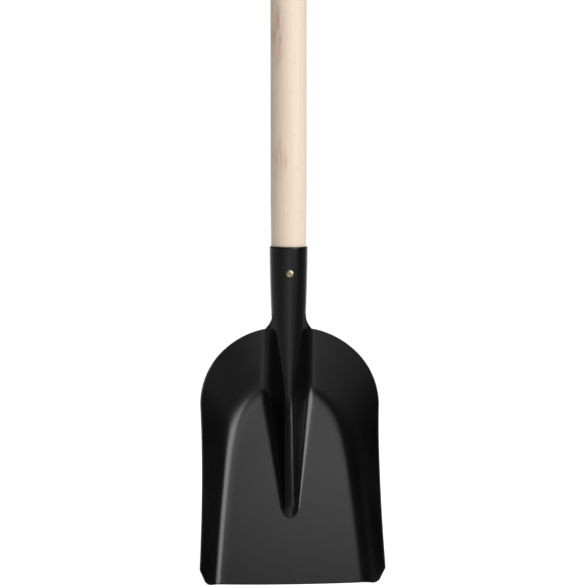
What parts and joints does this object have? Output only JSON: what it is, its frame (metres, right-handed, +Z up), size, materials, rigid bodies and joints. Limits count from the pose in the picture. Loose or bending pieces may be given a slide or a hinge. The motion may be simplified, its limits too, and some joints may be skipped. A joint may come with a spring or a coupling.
{
  "type": "grain scoop shovel",
  "caption": "Long-handled grain scoop shovel: a pressed steel pan with a centre ridge and a rolled socket, fixed to a straight wooden pole by one screw.",
  "frame": {"origin": "middle of the bounding box's bottom face, level with the scoop's front edge; the handle's axis is 25.2 mm behind it", "axes": "+Z up along the handle, +X to the right of somebody who looks into the scoop, +Y away from them"},
  "size_m": [0.2026, 0.0944, 1.35],
  "materials": {
    "black_paint": "satin",
    "pale_wood": "fine sanded, unvarnished",
    "yellow_zinc": "yellow passivated"
  },
  "bodies": {
    "root": {"scoop_blade": "black_paint", "handle": "pale_wood", "socket_screw": "yellow_zinc", "seam_weld": "black_paint"}
  },
  "joints": []
}
